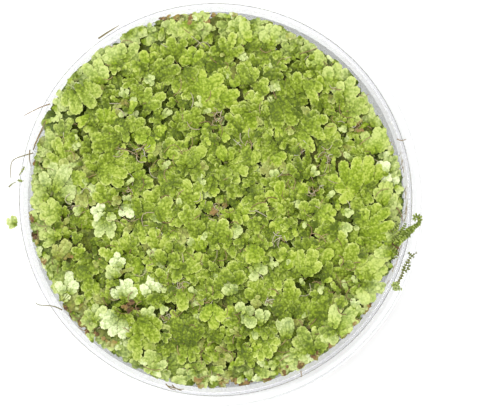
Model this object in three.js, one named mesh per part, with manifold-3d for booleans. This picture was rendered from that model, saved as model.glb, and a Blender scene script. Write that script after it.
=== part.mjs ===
// A low, clear, round bowl, brim-full of floating water fern on a little water.
// The fern is a carpet of separate small plants, each a lobed rosette with a tuft of roots under it.
// Millimetres, +Z up, the origin at the middle of the bowl's flat foot.
import * as THREE from "three";
import { mergeVertices } from "three/addons/utils/BufferGeometryUtils.js";
import Module from "manifold-3d";

// The room that every two pieces keep between them.
const GAP = 0.3;

// The bowl: a thin wall that leans out to a turned-over lip.
const LIP_OUTER_RADIUS = 59;
const LIP_INNER_RADIUS = 55.7;
const BOWL_HEIGHT = 44;
const WALL = 1.1;
const WALL_LEAN = THREE.MathUtils.degToRad(12);
const CORNER_RADIUS = 14;
const CORNER_STEPS = 3;
const LIP_THICKNESS = 1;
const LIP_DROP = 3.2;
const LIP_EDGE_RADIUS = 0.8;
const ROUND_STEPS = 44;

// The water, with a pocket round each plant's roots.
const WATER_LEVEL = 38.5;
const POCKET_SIDES = 6;
const POCKET_FOOT_RADIUS = 0.3;
const POCKET_ROOM = 0.4;

// Where the plants stand, and how far the carpet reaches.
const PLANT_COUNT = 40;
const CARPET_RADIUS = 53.6;
const OUTER_SITE_RADIUS = 49.6;
const SITE_WANDER = 1.3;
const GOLDEN_ANGLE = Math.PI * (3 - Math.sqrt(5));

// One plant: a rosette of lobes round its crown, heaped up towards the carpet's middle.
const PLANT_REACH = 12;
const LOBES = 6;
const LOBE_WANDER = 0.06;
const CROWN_AT_WALL = 43.2;
const CROWN_RISE = 3.6;
const CROWN_WANDER = 1.1;
const CALMER_AT_WALL = 0.3;
const FROND_LIFT = 0.35;
const FROND_TIP_RISE = 2.6;
const SHOULDER = 0.7;
const MIDDLE_DIP = 0.8;
const TUFT_RADIUS = 2.4;
const ROOTS_SHORTEST = 11;
const ROOTS_LONGEST = 21;
const ROOTS_OFF_WALL = 2;

// One lobe's outline: the share of the lobe's turn and the share of its reach at each corner.
const LOBE_CORNERS = [[0, 0.8], [0.2, 0.99], [0.5, 1], [0.8, 0.99]];

// Two branches and a loose frond that lie on the lip, by where they lie seen from above.
const OVERHANG_START = [50.2, -11.2];
const OVERHANG_END = [58.6, -4.6];
const OVERHANG_RADIUS = 1.45;
const TWIG_START = [49.4, -27.2];
const TWIG_END = [56, -17.2];
const TWIG_BOW = [0.9, -0.6];
const TWIG_RADIUS = 0.8;
const BRANCH_SIDES = 8;
const BRANCH_STEPS = 6;
const LOOSE_FROND_PLACE = [-58.1, -6.4];
const LOOSE_FROND_REACH = 2.4;
const LOOSE_FROND_HEIGHT = 1.3;

const wasm = await Module();
wasm.setup();

const clearPlastic = new THREE.MeshStandardMaterial({
  color: 0xf3f6f6, roughness: 0.08, metalness: 0, transparent: true, opacity: 0.25,
});
const clearWater = new THREE.MeshStandardMaterial({
  color: 0xdfe9dc, roughness: 0.05, metalness: 0, transparent: true, opacity: 0.35,
});
const fernGreen = new THREE.MeshStandardMaterial({ color: 0x97a84e, roughness: 0.75, metalness: 0 });
const oldFernGreen = new THREE.MeshStandardMaterial({ color: 0x7d7f3c, roughness: 0.8, metalness: 0 });

// A repeatable number from 0 to 1 for each plant and each purpose.
function chance(number, purpose) {
  const turned = Math.sin(number * 12.9898 + purpose * 78.233) * 43758.5453;
  return turned - Math.floor(turned);
}

// The same from -1 to 1.
function wander(number, purpose) {
  return 2 * chance(number, purpose) - 1;
}

function solidOf(geometry) {
  const bare = geometry.clone();
  bare.deleteAttribute("normal");
  bare.deleteAttribute("uv");
  const merged = mergeVertices(bare);
  return new wasm.Manifold(new wasm.Mesh({
    numProp: 3,
    vertProperties: new Float32Array(merged.attributes.position.array),
    triVerts: new Uint32Array(merged.index.array),
  }));
}

function geometryOf(solid) {
  const mesh = solid.getMesh();
  const geometry = new THREE.BufferGeometry();
  geometry.setAttribute("position", new THREE.BufferAttribute(mesh.vertProperties, mesh.numProp));
  geometry.setIndex(new THREE.BufferAttribute(mesh.triVerts, 1));
  geometry.computeVertexNormals();
  return geometry;
}

function named(name, geometry, material) {
  const mesh = new THREE.Mesh(geometry, material);
  mesh.name = name;
  return mesh;
}

// A profile of (radius, height) turned round +Z.
function turned(profile) {
  return new THREE.LatheGeometry(profile, ROUND_STEPS).rotateX(Math.PI / 2);
}

// The wall's outer face: an arc from the flat foot, then a straight lean out to the lip.
const wallRadiusAtTop = LIP_INNER_RADIUS + WALL / Math.cos(WALL_LEAN);
const cornerTopHeight = CORNER_RADIUS * (1 - Math.sin(WALL_LEAN));
const footRadius = wallRadiusAtTop
  - (BOWL_HEIGHT - cornerTopHeight) * Math.tan(WALL_LEAN)
  - CORNER_RADIUS * Math.cos(WALL_LEAN);

// The radius, at a height above the corner, of the face that lies inset inside the wall's outer one.
function wallRadius(height, inset) {
  return wallRadiusAtTop - (BOWL_HEIGHT - height) * Math.tan(WALL_LEAN) - inset / Math.cos(WALL_LEAN);
}

// The corner's arc, inset from the outer face, from the foot up.
function corner(inset) {
  const path = new THREE.Path();
  path.absarc(footRadius, CORNER_RADIUS, CORNER_RADIUS - inset, -Math.PI / 2, -WALL_LEAN, false);
  return path.getPoints(CORNER_STEPS);
}

function bowl() {
  const underLip = BOWL_HEIGHT - LIP_THICKNESS;
  const skirtFoot = BOWL_HEIGHT - LIP_DROP;
  const skirtInside = LIP_OUTER_RADIUS - LIP_THICKNESS;
  const profile = [
    new THREE.Vector2(0, 0),
    ...corner(0),
    new THREE.Vector2(wallRadius(underLip, 0), underLip),
    new THREE.Vector2(skirtInside, underLip),
    new THREE.Vector2(skirtInside, skirtFoot),
    new THREE.Vector2(LIP_OUTER_RADIUS, skirtFoot),
    new THREE.Vector2(LIP_OUTER_RADIUS, BOWL_HEIGHT - LIP_EDGE_RADIUS),
    new THREE.Vector2(LIP_OUTER_RADIUS - LIP_EDGE_RADIUS, BOWL_HEIGHT),
    new THREE.Vector2(LIP_INNER_RADIUS, BOWL_HEIGHT),
    ...corner(WALL).reverse(),
    new THREE.Vector2(0, WALL),
  ];
  return named("bowl", turned(profile), clearPlastic);
}

// Where each plant's crown stands: a sunflower spiral that fills the round, each place a little off its own.
function crownSites() {
  return Array.from({ length: PLANT_COUNT }, (_, k) => {
    const radius = OUTER_SITE_RADIUS * Math.sqrt((k + 0.5) / PLANT_COUNT);
    const stray = SITE_WANDER * (1 - (radius / OUTER_SITE_RADIUS) ** 4);
    return new THREE.Vector2(
      radius * Math.cos(k * GOLDEN_ANGLE) + stray * wander(k, 1),
      radius * Math.sin(k * GOLDEN_ANGLE) + stray * wander(k, 2),
    );
  });
}

// How far a plant may grow in one direction: to half way to each neighbour, or to the carpet's edge.
function roomToGrow(site, sites, angle) {
  const way = new THREE.Vector2(Math.cos(angle), Math.sin(angle));
  const across = site.dot(way);
  const toEdge = -across + Math.sqrt(across ** 2 + CARPET_RADIUS ** 2 - site.lengthSq());
  return sites.filter((other) => other !== site).reduce((reach, other) => {
    const between = other.clone().sub(site);
    const along = between.dot(way) / between.length();
    return along > 0 ? Math.min(reach, (between.length() - GAP) / 2 / along) : reach;
  }, Math.min(PLANT_REACH, toEdge));
}

// A rosette's outline, as the angle and the reach of each of its corners.
function rosetteOutline(seed, reachAt) {
  const turn = 2 * Math.PI * chance(seed, 3);
  return Array.from({ length: LOBES * LOBE_CORNERS.length }, (_, step) => {
    const lobe = Math.floor(step / LOBE_CORNERS.length);
    const [share, length] = LOBE_CORNERS[step % LOBE_CORNERS.length];
    const angle = turn + ((lobe + share) * 2 * Math.PI) / LOBES;
    const fullness = 1 - LOBE_WANDER * chance(seed * LOBES + lobe, 4);
    return { angle, reach: reachAt(angle) * length * fullness };
  });
}

// A closed body of rings, from the foot up: each is the share it takes of the outline's reach,
// the radius it adds all round, and its height.
function ringedBody(outline, rings) {
  const profile = rings.map(([, , height]) => new THREE.Vector2(1, height));
  const geometry = new THREE.LatheGeometry(profile, outline.length);
  const place = geometry.attributes.position;
  for (let i = 0; i < place.count; i += 1) {
    const { angle, reach } = outline[Math.floor(i / rings.length) % outline.length];
    const [share, added, height] = rings[i % rings.length];
    const radius = share * reach + added;
    place.setXYZ(i, radius * Math.cos(angle), radius * Math.sin(angle), height);
  }
  return geometry;
}

function crownHeight(plant, site) {
  const inward = 1 - site.lengthSq() / CARPET_RADIUS ** 2;
  return CROWN_AT_WALL + CROWN_RISE * inward + CROWN_WANDER * wander(plant, 5) * (CALMER_AT_WALL + inward);
}

// How far down a plant's roots hang: less beside the wall, which they keep clear of as it leans in.
function rootDepth(plant, site) {
  const room = wallRadius(WATER_LEVEL, WALL) - site.length() - ROOTS_OFF_WALL;
  const depth = THREE.MathUtils.lerp(ROOTS_SHORTEST, ROOTS_LONGEST, chance(plant, 6));
  return Math.min(depth, room / Math.tan(WALL_LEAN));
}

function plantBody(plant, site, sites) {
  const top = crownHeight(plant, site);
  const outline = rosetteOutline(plant, (angle) => roomToGrow(site, sites, angle));
  const geometry = ringedBody(outline, [
    [0, 0, WATER_LEVEL - rootDepth(plant, site)],
    [0, TUFT_RADIUS, WATER_LEVEL + FROND_LIFT],
    [1, 0, WATER_LEVEL + FROND_TIP_RISE],
    [SHOULDER, 0, top],
    [0, 0, top - MIDDLE_DIP],
  ]);
  const mesh = named(`plant_${String(plant + 1).padStart(2, "0")}`, geometry, fernGreen);
  mesh.position.set(site.x, site.y, 0);
  return mesh;
}

// The room that a plant's roots take out of the water: a slim funnel, a little wider than the tuft.
function rootPocket(plant, site) {
  const slope = TUFT_RADIUS / rootDepth(plant, site);
  const depth = rootDepth(plant, site) + POCKET_ROOM / Math.sin(Math.atan(slope));
  const mouth = (TUFT_RADIUS + POCKET_ROOM) / Math.cos(Math.PI / POCKET_SIDES);
  const above = 1;
  const pocket = new THREE.CylinderGeometry(mouth, POCKET_FOOT_RADIUS, depth + above, POCKET_SIDES);
  pocket.rotateX(Math.PI / 2);
  return solidOf(pocket.translate(site.x, site.y, WATER_LEVEL + (above - depth) / 2));
}

function water(sites) {
  const inset = WALL + GAP;
  const profile = [
    new THREE.Vector2(0, inset),
    ...corner(inset),
    new THREE.Vector2(wallRadius(WATER_LEVEL, inset), WATER_LEVEL),
    new THREE.Vector2(0, WATER_LEVEL),
  ];
  const whole = solidOf(turned(profile));
  const pocketed = sites.reduce((left, site, plant) => left.subtract(rootPocket(plant, site)), whole);
  return named("water", geometryOf(pocketed), clearWater);
}

// A round branch along a curve through three places.
function branch(name, start, end, bow, radius, material) {
  const rest = BOWL_HEIGHT + GAP + radius;
  const [x0, y0] = start;
  const [x1, y1] = end;
  const [bowX, bowY] = bow;
  const path = new THREE.CatmullRomCurve3([
    new THREE.Vector3(x0, y0, rest + GAP),
    new THREE.Vector3((x0 + x1) / 2 + bowX, (y0 + y1) / 2 + bowY, rest),
    new THREE.Vector3(x1, y1, rest),
  ]);
  const section = new THREE.Shape(Array.from({ length: BRANCH_SIDES }, (_, side) => {
    const angle = (side * 2 * Math.PI) / BRANCH_SIDES;
    return new THREE.Vector2(radius * Math.cos(angle), radius * Math.sin(angle));
  }));
  const geometry = new THREE.ExtrudeGeometry(section, { steps: BRANCH_STEPS, extrudePath: path });
  return named(name, geometry, material);
}

function looseFrond() {
  const foot = BOWL_HEIGHT + GAP;
  const outline = rosetteOutline(PLANT_COUNT, () => LOOSE_FROND_REACH);
  const geometry = ringedBody(outline, [
    [0, 0, foot],
    [SHOULDER, 0, foot],
    [1, 0, foot + LOOSE_FROND_HEIGHT / 2],
    [0, 0, foot + LOOSE_FROND_HEIGHT],
  ]);
  const mesh = named("loose_frond_on_lip", geometry, oldFernGreen);
  mesh.position.set(...LOOSE_FROND_PLACE, 0);
  return mesh;
}

const sites = crownSites();
const bowlOfFern = new THREE.Group();
bowlOfFern.add(bowl(), water(sites));
sites.forEach((site, plant) => bowlOfFern.add(plantBody(plant, site, sites)));
bowlOfFern.add(
  branch("branch_over_lip", OVERHANG_START, OVERHANG_END, [0, 0], OVERHANG_RADIUS, fernGreen),
  branch("twig_on_lip", TWIG_START, TWIG_END, TWIG_BOW, TWIG_RADIUS, oldFernGreen),
  looseFrond(),
);

export default bowlOfFern;
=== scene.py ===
"""A clear round bowl, brim-full of floating water fern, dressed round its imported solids.

Metres, +Z up, the origin under the middle of the bowl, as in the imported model.
"""
import math

import bpy
import numpy as np
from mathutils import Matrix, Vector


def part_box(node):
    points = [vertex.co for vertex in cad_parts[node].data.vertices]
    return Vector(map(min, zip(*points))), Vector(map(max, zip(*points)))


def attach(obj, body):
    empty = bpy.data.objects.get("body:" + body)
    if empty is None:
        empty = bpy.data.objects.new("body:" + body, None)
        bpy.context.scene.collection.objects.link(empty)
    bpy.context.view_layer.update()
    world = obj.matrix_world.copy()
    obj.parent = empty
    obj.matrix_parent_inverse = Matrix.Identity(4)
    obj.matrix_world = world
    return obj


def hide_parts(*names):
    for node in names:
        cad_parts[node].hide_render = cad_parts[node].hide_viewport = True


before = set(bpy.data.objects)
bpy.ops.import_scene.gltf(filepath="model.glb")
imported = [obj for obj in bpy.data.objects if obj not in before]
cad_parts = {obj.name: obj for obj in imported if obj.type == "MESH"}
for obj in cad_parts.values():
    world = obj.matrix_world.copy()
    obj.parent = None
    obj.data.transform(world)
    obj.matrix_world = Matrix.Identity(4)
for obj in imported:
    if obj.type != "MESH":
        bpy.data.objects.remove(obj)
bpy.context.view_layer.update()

MM = 0.001

# The photograph's frame. The bowl's lip shows there as a round, and one pixel's real width follows from it.
PHOTO_PX = (488, 410)
BOWL_MIDDLE_PX = (215.5, 199.7)
LIP_RADIUS_PX = 207.5
BOWL_LOW, BOWL_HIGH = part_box("bowl")
LIP_RADIUS = (BOWL_HIGH.x - BOWL_LOW.x) / 2
LIP_TOP = BOWL_HIGH.z
M_PER_PX = LIP_RADIUS / LIP_RADIUS_PX
CAMERA_HEIGHT = 620 * MM
SENSOR = 36

# The bowl's own dimensions, as its solid has them, but for the wall's top, which is 0.8 mm farther in, with a
# lean that leaves the foot in its place.
LIP_INNER_RADIUS = 54.9 * MM
WALL = 1.1 * MM
WALL_LEAN = math.radians(11)
CORNER_RADIUS = 14 * MM
LIP_THICKNESS = 1 * MM
LIP_DROP = 3.2 * MM
FOOT_RECESS = 0.35 * MM
FOOT_RIM = 1.5 * MM
FOOT_SLOPE = 1 * MM
FOOT_EDGE = 0.8 * MM
LIP_EDGE = 0.6 * MM
FOLD_EDGE = 0.7 * MM
FINE_EDGE = 0.4 * MM
ROUND_SIDES = 480

# What lies on the lip rests on this curve: distances from the middle, and the heights there.
LIP_CURVE = np.array([
    [52, 54.1, 54.7, 55.4, 58.2, 58.9, 59.4],
    [43, 43.5, 44, 44.05, 44.05, 43.9, 43.3],
]) * MM

# The water meets the wall with a small overlap, so that no film of air shows between them.
WATER_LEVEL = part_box("water")[1].z
WATER_INTO_WALL = 0.12 * MM
MENISCUS = 0.5 * MM
MENISCUS_REACH = 1.5 * MM
SURFACE_RINGS = (0.3 * MM, 8 * MM)

# The carpet of fern: how far it reaches, how its top is heaped and how near it comes to the wall.
CARPET_RADIUS = 53.9 * MM
CARPET_EDGE_TOP = 42.2 * MM
CARPET_RISE = 2.6 * MM
FROM_WALL = 0.1 * MM

# A fan's middle as a share of its reach, its scale leaves, how much longer and wider they are on a lobe's
# margin, and the room between their tips there and inside it.
FAN_MIDDLE = 0.55
LEAF_SIDES = 6
BLADE_SIDES = 6
LEAF_LENGTH = 1.35 * MM
LEAF_WIDTH = 1.1 * MM
LEAF_HEIGHT = 0.06 * MM
MARGIN_LEAF = 1.35
MARGIN_STEP = 1.2 * MM
ROW_STEP = 0.7 * MM
COLUMN_STEP = 0.9 * MM

# The broad lowest leaves on the water, the stalks from a plant's crown to its fans, and the hanging roots.
# A fan that reaches ROOTED_FAN or more has a stalk and roots of its own.
BED_STEP = 1.45 * MM
BED_LEAF = (2.7 * MM, 2 * MM, 0.3 * MM)
CROWN_ABOVE_WATER = 1.2 * MM
STALK_RADIUS = 0.35 * MM
STALK_SAG = 1.2 * MM
ROOTED_FAN = 5 * MM
ROOT_RADIUS = 0.14 * MM
ROOT_DROPS_MM = (7, 19)
ROOTS_FROM_WALL = 4.5 * MM

# The roots and stalks that lie on the carpet, and the roots along the wall.
THREADS = 260
THREAD_REACH = 53.4 * MM
WALL_ROOT_TOP = 43.4 * MM
WALL_ROOT_HEIGHTS = (39.5 * MM, 43.6 * MM)
WALL_ROOT_RADIUS = 0.08 * MM

# How a fan looks: its tone from deep to pale green, how lime, mint or old it is, how pale its margins are
# and how strong the painted highlight on them is, and how often its leaves stand out singly.
LOOKS = {
    "mint": dict(tone=0.75, fresh=0.0, pale=1.0, age=0.0, edge=0.5, grainy=0.0),
    "pale": dict(tone=0.75, fresh=0.1, pale=0.45, age=0.0, edge=0.9, grainy=0.0),
    "light": dict(tone=0.62, fresh=0.2, pale=0.0, age=0.0, edge=1.0, grainy=0.6),
    "lime": dict(tone=0.66, fresh=0.65, pale=0.0, age=0.0, edge=0.75, grainy=0.6),
    "mid": dict(tone=0.46, fresh=0.1, pale=0.0, age=0.0, edge=0.8, grainy=0.8),
    "deep": dict(tone=0.32, fresh=0.0, pale=0.0, age=0.0, edge=0.5, grainy=0.6),
    "tan": dict(tone=0.6, fresh=0.0, pale=0.2, age=0.2, edge=0.8, grainy=0.2),
}

# The looks of the middling and the small fans between them, and how often each comes.
MIDDLING_LOOKS = ["light", "mid", "deep", "lime", "tan"]
MIDDLING_SHARES = [0.27, 0.42, 0.17, 0.1, 0.04]
SMALL_LOOKS = ["pale", *MIDDLING_LOOKS]
SMALL_SHARES = [0.2, 0.3, 0.22, 0.12, 0.08, 0.08]

# The fans that stand out in the photograph, by where their middles show: x and y in its pixels, the way they
# point in degrees from +X, how far they reach and how wide a lobe is in pixels, their lobes and their look.
FANS_SEEN = [
    (124, 287, 88, 25, 11, 4, "mint"), (150, 286, 95, 26, 10, 3, "mint"), (67, 283, 92, 26, 11, 3, "mint"),
    (98, 212, 165, 22, 10, 3, "mint"), (104, 229, 262, 26, 10, 4, "pale"),
    (126, 211, 268, 20, 10, 2, "mint"), (118, 259, 100, 17, 9, 3, "mint"),
    (112, 271, 130, 18, 9, 3, "pale"), (118, 327, 250, 32, 11, 6, "mint"), (97, 313, 70, 22, 9, 4, "pale"),
    (150, 312, 60, 15, 8, 3, "pale"), (245, 308, 60, 16, 12, 2, "pale"), (247, 320, 250, 18, 13, 2, "pale"),
    (262, 316, 80, 18, 9, 2, "pale"), (286, 327, 100, 24, 12, 2, "pale"), (384, 166, 100, 17, 9, 2, "mint"),
    (391, 179, 60, 19, 12, 2, "mint"), (236, 233, 300, 16, 10, 2, "pale"),
    (258, 271, 300, 21, 12, 2, "pale"), (228, 286, 120, 22, 9, 3, "pale"),
    (160, 203, 70, 30, 14, 4, "light"), (158, 215, 350, 20, 10, 2, "pale"),
    (180, 300, 268, 28, 14, 3, "light"), (150, 330, 310, 38, 15, 3, "light"),
    (212, 318, 265, 31, 12, 3, "lime"), (190, 258, 50, 33, 13, 4, "light"),
    (168, 252, 85, 24, 12, 3, "mid"), (110, 252, 150, 28, 12, 3, "light"),
    (128, 240, 90, 24, 8, 4, "light"), (190, 214, 95, 34, 9, 4, "light"),
    (142, 347, 290, 28, 12, 4, "light"), (186, 353, 270, 26, 10, 4, "mid"),
    (88, 277, 300, 24, 12, 3, "mid"), (90, 291, 250, 22, 10, 3, "light"),
    (48, 212, 180, 28, 10, 4, "light"), (45, 236, 170, 23, 8, 4, "light"), (62, 250, 60, 26, 8, 4, "tan"),
    (58, 287, 200, 26, 10, 3, "light"), (61, 178, 60, 38, 13, 5, "pale"),
    (41, 190, 200, 24, 10, 4, "light"), (115, 173, 330, 34, 13, 4, "light"),
    (105, 191, 100, 28, 11, 4, "light"), (93, 190, 200, 16, 9, 2, "pale"),
    (105, 147, 200, 34, 14, 5, "mid"), (88, 171, 120, 20, 9, 3, "tan"), (150, 142, 280, 26, 14, 3, "lime"),
    (176, 147, 20, 24, 12, 3, "light"), (196, 155, 60, 28, 12, 4, "light"),
    (170, 178, 330, 24, 12, 3, "light"), (192, 190, 70, 26, 12, 4, "light"),
    (153, 193, 110, 20, 13, 2, "light"), (84, 98, 300, 36, 14, 5, "light"),
    (62, 100, 160, 26, 9, 4, "light"), (95, 72, 120, 30, 12, 4, "lime"), (112, 54, 100, 26, 9, 4, "lime"),
    (130, 50, 60, 26, 12, 3, "light"), (148, 56, 80, 18, 12, 2, "lime"), (176, 47, 70, 28, 13, 4, "light"),
    (168, 69, 30, 30, 11, 4, "mid"), (176, 84, 275, 24, 13, 3, "light"), (191, 78, 300, 20, 11, 3, "mid"),
    (212, 60, 200, 25, 11, 4, "mid"), (60, 150, 110, 30, 8, 5, "light"), (65, 128, 80, 28, 7, 5, "mid"),
    (152, 97, 60, 26, 10, 4, "light"), (194, 115, 80, 24, 12, 3, "light"), (140, 129, 30, 30, 13, 4, "mid"),
    (214, 92, 10, 42, 15, 5, "lime"), (232, 99, 0, 22, 13, 2, "lime"), (233, 44, 60, 26, 10, 4, "light"),
    (250, 30, 90, 26, 12, 4, "lime"), (272, 32, 80, 26, 11, 4, "lime"), (245, 71, 110, 26, 12, 4, "light"),
    (262, 85, 60, 20, 10, 3, "light"), (275, 87, 270, 16, 9, 2, "pale"), (288, 92, 300, 26, 13, 3, "mid"),
    (318, 60, 90, 28, 13, 3, "lime"), (336, 72, 60, 26, 13, 3, "lime"), (350, 89, 40, 26, 11, 4, "lime"),
    (357, 108, 20, 30, 11, 4, "light"), (312, 93, 300, 28, 12, 3, "light"),
    (315, 106, 200, 14, 12, 2, "mid"), (284, 115, 290, 40, 17, 4, "mid"),
    (318, 122, 10, 30, 13, 3, "light"), (312, 138, 310, 34, 9, 4, "light"),
    (332, 134, 30, 22, 12, 2, "light"), (332, 147, 350, 30, 11, 4, "mid"),
    (246, 125, 250, 24, 11, 3, "lime"), (238, 110, 160, 24, 12, 3, "light"),
    (251, 111, 60, 24, 12, 3, "mid"), (226, 152, 80, 20, 13, 2, "lime"), (247, 153, 100, 26, 12, 3, "mid"),
    (278, 156, 20, 20, 11, 3, "lime"), (238, 170, 330, 30, 9, 5, "light"),
    (349, 175, 92, 46, 13, 4, "lime"), (371, 168, 85, 36, 14, 3, "lime"),
    (346, 192, 200, 30, 12, 4, "lime"), (386, 192, 80, 26, 11, 4, "lime"),
    (378, 138, 70, 34, 11, 4, "lime"), (302, 166, 85, 28, 10, 4, "mid"), (279, 193, 92, 26, 12, 3, "lime"),
    (310, 204, 100, 18, 13, 2, "light"), (218, 229, 95, 26, 14, 4, "light"),
    (251, 235, 90, 22, 14, 3, "light"), (233, 271, 80, 26, 14, 3, "light"),
    (252, 257, 270, 24, 10, 4, "lime"), (256, 288, 90, 24, 11, 4, "mid"),
    (286, 291, 90, 38, 12, 4, "light"), (229, 314, 80, 26, 12, 3, "lime"),
    (311, 338, 100, 38, 14, 4, "light"), (333, 336, 300, 26, 12, 3, "light"),
    (344, 321, 50, 40, 14, 5, "lime"), (296, 363, 260, 24, 12, 4, "light"),
    (338, 249, 110, 42, 17, 4, "light"), (308, 260, 80, 34, 9, 5, "light"),
    (376, 226, 30, 46, 12, 6, "lime"), (328, 216, 350, 26, 10, 4, "lime"),
    (345, 229, 330, 20, 10, 2, "pale"), (372, 267, 40, 36, 12, 5, "lime"),
    (366, 294, 300, 30, 12, 4, "lime"), (324, 306, 80, 28, 14, 3, "mid"), (326, 231, 200, 26, 13, 3, "mid"),
    (250, 206, 250, 24, 9, 4, "light"), (184, 330, 100, 38, 17, 4, "deep"),
]

# Open places that show the dark wet layer under the fans, its dark tone in part a painted shade: x and y in
# pixels, and the radius.
OPEN_PLACES = [
    (88, 238, 11), (70, 203, 9), (79, 117, 6), (172, 112, 6), (150, 114, 6), (205, 42, 6), (237, 52, 6),
    (140, 152, 9), (127, 190, 6), (151, 164, 5), (217, 117, 7), (330, 160, 7), (313, 154, 5),
    (218, 210, 12), (355, 124, 7), (125, 107, 8), (127, 306, 8), (304, 287, 9), (352, 224, 6),
    (166, 316, 7), (336, 284, 6), (316, 190, 7), (270, 315, 6), (342, 205, 6), (243, 88, 6), (65, 118, 5),
    (292, 60, 4),
]

# Places with old brown bits: x and y in pixels, the radius, how many bits and how brown they are.
OLD_PLACES = [
    (218, 212, 11, 12, 0.35), (125, 107, 7, 6, 0.4), (355, 124, 7, 6, 0.4), (127, 306, 6, 8, 0.95),
    (165, 17, 5, 5, 0.5), (178, 15, 5, 5, 0.6), (190, 15, 5, 4, 0.5), (212, 13, 7, 6, 0.45),
    (236, 13, 5, 3, 0.3), (30, 153, 4, 5, 0.6), (31, 163, 3, 4, 0.7), (30, 215, 4, 7, 0.75),
    (35, 238, 3, 3, 0.8), (42, 262, 3, 3, 0.4), (64, 308, 5, 8, 0.7), (72, 317, 5, 8, 0.75),
    (82, 325, 6, 8, 0.6), (92, 333, 6, 7, 0.5), (105, 343, 6, 5, 0.35), (82, 306, 6, 5, 0.35),
    (200, 383, 6, 6, 0.35), (222, 384, 8, 8, 0.4), (246, 383, 8, 8, 0.45), (266, 378, 5, 6, 0.5),
    (284, 372, 4, 6, 0.6), (300, 365, 4, 7, 0.6), (316, 356, 4, 7, 0.6), (331, 345, 4, 7, 0.55),
    (345, 334, 4, 6, 0.5), (356, 322, 4, 5, 0.5), (367, 307, 3, 4, 0.45), (403, 141, 3, 4, 0.6),
    (398, 245, 4, 8, 0.9), (70, 254, 5, 5, 0.4), (95, 262, 4, 4, 0.35),
]

# Tangles of pale wet roots that show between the fans: x and y in pixels, the radius and how many roots.
TANGLES = [
    (140, 152, 8, 16), (217, 117, 7, 12), (315, 190, 8, 12), (245, 145, 7, 10), (218, 210, 11, 16),
    (128, 190, 6, 8), (178, 283, 9, 14), (84, 205, 6, 8), (166, 316, 6, 8), (158, 232, 7, 10),
    (330, 158, 6, 8), (355, 124, 6, 8), (282, 240, 7, 8), (300, 150, 6, 8), (70, 207, 6, 8),
    (205, 300, 6, 8), (121, 150, 6, 6), (270, 300, 6, 6),
]

# The branch and the twig on the lip, the loose frond and the bits beside it, as paths in pixels, each with
# how far its leaves reach in millimetres.
LIP_BRANCH = [
    (1.15, [(396, 245), (401, 238), (407, 232.5), (413, 228), (418.5, 224)]),
    (0.75, [(416, 226), (420, 221), (419.5, 217), (416, 215), (413, 217), (414, 220), (417, 219.5)]),
    (0.8, [(392, 240), (398, 235), (403, 229), (405, 224)]),
    (0.8, [(389, 232), (395, 229), (399, 224)]),
    (0.75, [(399, 238), (404, 236.5), (409, 236)]),
    (0.8, [(390, 246), (395, 250), (396, 257)]),
]
LIP_TWIG = [
    (0.6, [(397, 283), (400, 279), (402, 274), (403, 269), (406, 264), (409, 259), (412, 255), (416, 253)]),
    (0.6, [(402.5, 269.5), (406, 271.5), (408.5, 268), (409, 263), (407.5, 260)]),
    (0.5, [(408.5, 252.5), (411, 255), (413.5, 257)]),
]
LIP_TWIG_TUFTS = [
    (0.9, [(392, 286), (395, 284), (398, 284)]), (0.8, [(393, 288), (398, 288), (401, 289)]),
    (0.7, [(394, 290), (396, 286), (399, 281)]),
]
LIP_FROND_PX = (11, 221.5)
LIP_BITS = [
    (0.4, [(24.5, 167), (22.5, 171), (19.5, 175)]), (0.5, [(18, 180), (21, 181.5), (23, 181)]),
    (0.3, [(9, 187), (12, 184), (16, 182)]),
]

# Loose roots on the lip, as paths in pixels, and the heights in the photograph, in pixels down from its top,
# between which roots cling to the wall on the right.
LIP_ROOTS = [
    [(50, 104), (41, 107), (33, 111), (24, 115.5)],
    [(33, 153), (24, 155.5), (14, 159), (11, 163), (10.5, 171), (11, 178)],
    [(62, 310), (54, 306), (46, 305.5), (38, 305), (35.5, 302.5)],
    [(98, 38.5), (106, 33), (119, 25.5)], [(99, 38.5), (108, 32.5), (116, 27.5)],
    [(301, 371), (301.5, 377)], [(37, 230), (37.5, 237), (39, 242)], [(30, 150), (29, 158), (31, 166)],
    [(166, 384), (170, 388.5), (176, 390)], [(168, 386), (175, 388), (182, 391)],
    [(172, 385), (177, 389.5), (184, 389)], [(395, 206), (401, 212), (403, 221)],
    [(397, 139), (402, 141), (406, 139)], [(34, 146), (40, 132), (46, 120)],
    [(33, 150), (37, 139), (44, 127)], [(398, 256), (399, 250), (402, 245)],
]
WALL_ROOTS = [(138, 176), (150, 206), (166, 214), (176, 222), (196, 224), (262, 286)]

FERN_PART, ROOT_PART = 0, 1


def srgb(red, green, blue):
    """A colour given as 0 to 255, as the linear values that a shader takes."""
    share = np.array([red, green, blue]) / 255
    linear = np.where(share <= 0.04045, share / 12.92, ((share + 0.055) / 1.055) ** 2.4)
    return (*linear.tolist(), 1.0)


def seen_at(x_px, y_px):
    """The place on the lip's level that the photograph shows at a pixel."""
    return np.array([x_px - BOWL_MIDDLE_PX[0], BOWL_MIDDLE_PX[1] - y_px]) * M_PER_PX


def unit(vectors):
    """Each vector divided by its own length."""
    return vectors / np.linalg.norm(vectors, axis=-1, keepdims=True)


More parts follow.
